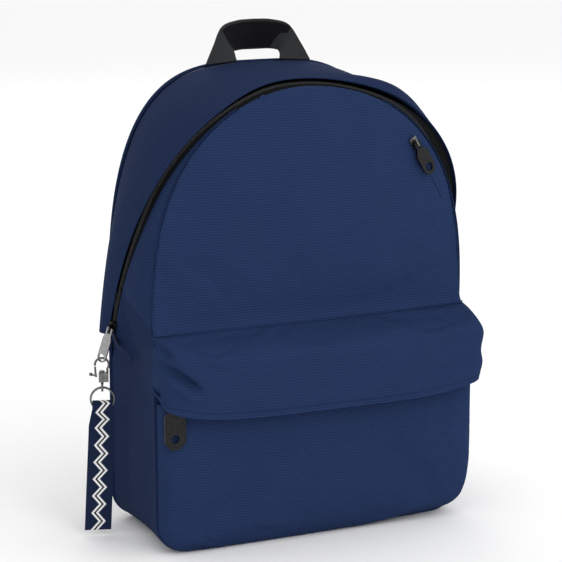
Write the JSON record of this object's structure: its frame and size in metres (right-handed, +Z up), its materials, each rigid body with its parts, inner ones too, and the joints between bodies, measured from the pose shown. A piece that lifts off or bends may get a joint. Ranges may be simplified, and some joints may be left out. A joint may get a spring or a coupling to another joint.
{
  "type": "school backpack",
  "caption": "Domed school backpack with a zip round the front, a flapped front pocket, a grab handle, padded shoulder straps and a hook lanyard on the zip.",
  "frame": {"origin": "middle of the flat base, on the floor", "axes": "+Z up, the front faces -Y and the wearer's back is at +Y, +X is the viewer's right"},
  "size_m": [0.3626, 0.2279, 0.458],
  "materials": {
    "navy_fabric": "ribbed navy canvas",
    "navy_side_fabric": "ribbed navy canvas in the sides",
    "black_fabric": "black mesh and zip tape",
    "grey_webbing": "dark grey ribbed webbing and lining",
    "foam": "soft foam sheet",
    "gunmetal": "dark satin metal",
    "nickel": "satin nickel plate",
    "black_plastic": "moulded black plastic"
  },
  "bodies": {
    "bag": {"back_panel": "black_fabric", "back_foam": "foam", "back_lining": "grey_webbing", "rear_gusset": "navy_fabric", "side_gusset_left": "navy_side_fabric", "side_gusset_right": "navy_side_fabric", "bottom_panel": "navy_side_fabric", "lower_front_panel": "navy_fabric", "pocket_front": "navy_fabric", "pocket_zip_lower_tape": "black_fabric", "main_zip_rear_tape": "black_fabric", "main_zip_tail_left": "black_fabric", "main_zip_tail_right": "black_fabric", "strap_yoke": "navy_side_fabric", "lower_strap_tab_left": "navy_side_fabric", "lower_strap_tab_right": "navy_side_fabric"},
    "front_flap": {"upper_front_panel": "navy_fabric", "wing_panel_left": "navy_side_fabric", "wing_panel_right": "navy_side_fabric", "main_zip_front_tape": "black_fabric", "chest_zip_tape": "black_fabric", "chest_pocket_pouch": "grey_webbing"},
    "pocket_flap": {"pocket_flap": "navy_fabric", "pocket_zip_upper_tape": "black_fabric"},
    "handle": {"grab_handle": "grey_webbing"},
    "strap_left": {"shoulder_strap_left": "navy_side_fabric", "strap_webbing_left": "grey_webbing", "strap_adjuster_left": "black_plastic"},
    "strap_right": {"shoulder_strap_right": "navy_side_fabric", "strap_webbing_right": "grey_webbing", "strap_adjuster_right": "black_plastic"},
    "main_slider": {"main_zip_slider": "gunmetal"},
    "main_pull": {"main_zip_pull": "nickel"},
    "hook": {"trigger_hook": "nickel"},
    "gate": {"hook_gate": "nickel"},
    "swivel": {"swivel_eye": "nickel"},
    "ring": {"split_ring": "nickel"},
    "ribbon": {"lanyard_ribbon": "navy_fabric"},
    "pocket_slider": {"pocket_zip_slider": "gunmetal"},
    "pocket_pull": {"pocket_zip_pull": "gunmetal"},
    "chest_slider": {"chest_zip_slider": "gunmetal"},
    "chest_pull": {"chest_zip_pull": "gunmetal"}
  },
  "joints": [
    {"name": "front_flap_fold", "type": "hinge", "parent": "bag", "child": "front_flap", "pos_m": [0, -0.0635, 0.199], "axis": [1, 0, 0], "range_deg": [0, 50]},
    {"name": "pocket_flap_lift", "type": "hinge", "parent": "bag", "child": "pocket_flap", "pos_m": [0, -0.0635, 0.199], "axis": [-1, 0, 0], "range_deg": [0, 35]},
    {"name": "handle_tilt", "type": "hinge", "parent": "bag", "child": "handle", "pos_m": [0, 0.045, 0.4215], "axis": [1, 0, 0], "range_deg": [-20, 20], "stiffness_Nm_per_rad": 0.08},
    {"name": "strap_left_swing", "type": "hinge", "parent": "bag", "child": "strap_left", "pos_m": [-0.052, 0.0775, 0.372], "axis": [0.1985, 0.0084, 0.9801], "range_deg": [-12, 12]},
    {"name": "strap_right_swing", "type": "hinge", "parent": "bag", "child": "strap_right", "pos_m": [0.052, 0.0775, 0.372], "axis": [-0.1985, 0.0084, 0.9801], "range_deg": [-12, 12]},
    {"name": "main_slider_run", "type": "slide", "parent": "bag", "child": "main_slider", "axis": [0.0003, -0.3914, 0.9202], "range_m": [0, 0.016]},
    {"name": "main_pull_swing", "type": "hinge", "parent": "main_slider", "child": "main_pull", "pos_m": [-0.16945, 0.00708, 0.19412], "axis": [-0.4512, 0.8212, 0.3494], "range_deg": [-2, 60]},
    {"name": "hook_swing", "type": "hinge", "parent": "main_pull", "child": "hook", "pos_m": [-0.17456, 0.01639, 0.16564], "axis": [-0.9397, 0.342, 0], "range_deg": [-3, 26]},
    {"name": "hook_gate_open", "type": "hinge", "parent": "hook", "child": "gate", "pos_m": [-0.17983, 0.0183, 0.15024], "axis": [0.342, 0.9397, 0], "range_deg": [0, 28], "stiffness_Nm_per_rad": 0.001, "springref_deg": -11.46},
    {"name": "swivel_turn", "type": "hinge", "parent": "hook", "child": "swivel", "pos_m": [-0.17456, 0.01639, 0.14374], "axis": [0, 0, 1], "continuous": true},
    {"name": "ring_swing", "type": "hinge", "parent": "swivel", "child": "ring", "pos_m": [-0.17456, 0.01639, 0.13834], "axis": [-0.9397, 0.342, 0], "range_deg": [-3, 30]},
    {"name": "ribbon_swing", "type": "hinge", "parent": "ring", "child": "ribbon", "pos_m": [-0.17456, 0.01639, 0.11714], "axis": [-0.9397, 0.342, 0], "range_deg": [-3, 15]},
    {"name": "pocket_slider_run", "type": "slide", "parent": "bag", "child": "pocket_slider", "axis": [0.9992, -0.0391, 0], "range_m": [0, 0.287]},
    {"name": "pocket_pull_swing", "type": "hinge", "parent": "pocket_slider", "child": "pocket_pull", "pos_m": [-0.1438, -0.07558, 0.143], "axis": [-0.9992, 0.0391, 0], "range_deg": [-2, 10]},
    {"name": "chest_slider_run", "type": "slide", "parent": "front_flap", "child": "chest_slider", "axis": [0.5095, 0.0135, -0.8603], "range_m": [0, 0.05]},
    {"name": "chest_pull_swing", "type": "hinge", "parent": "chest_slider", "child": "chest_pull", "pos_m": [0.10218, -0.06375, 0.35234], "axis": [-0.846, -0.1747, -0.5038], "range_deg": [0, 100]}
  ]
}
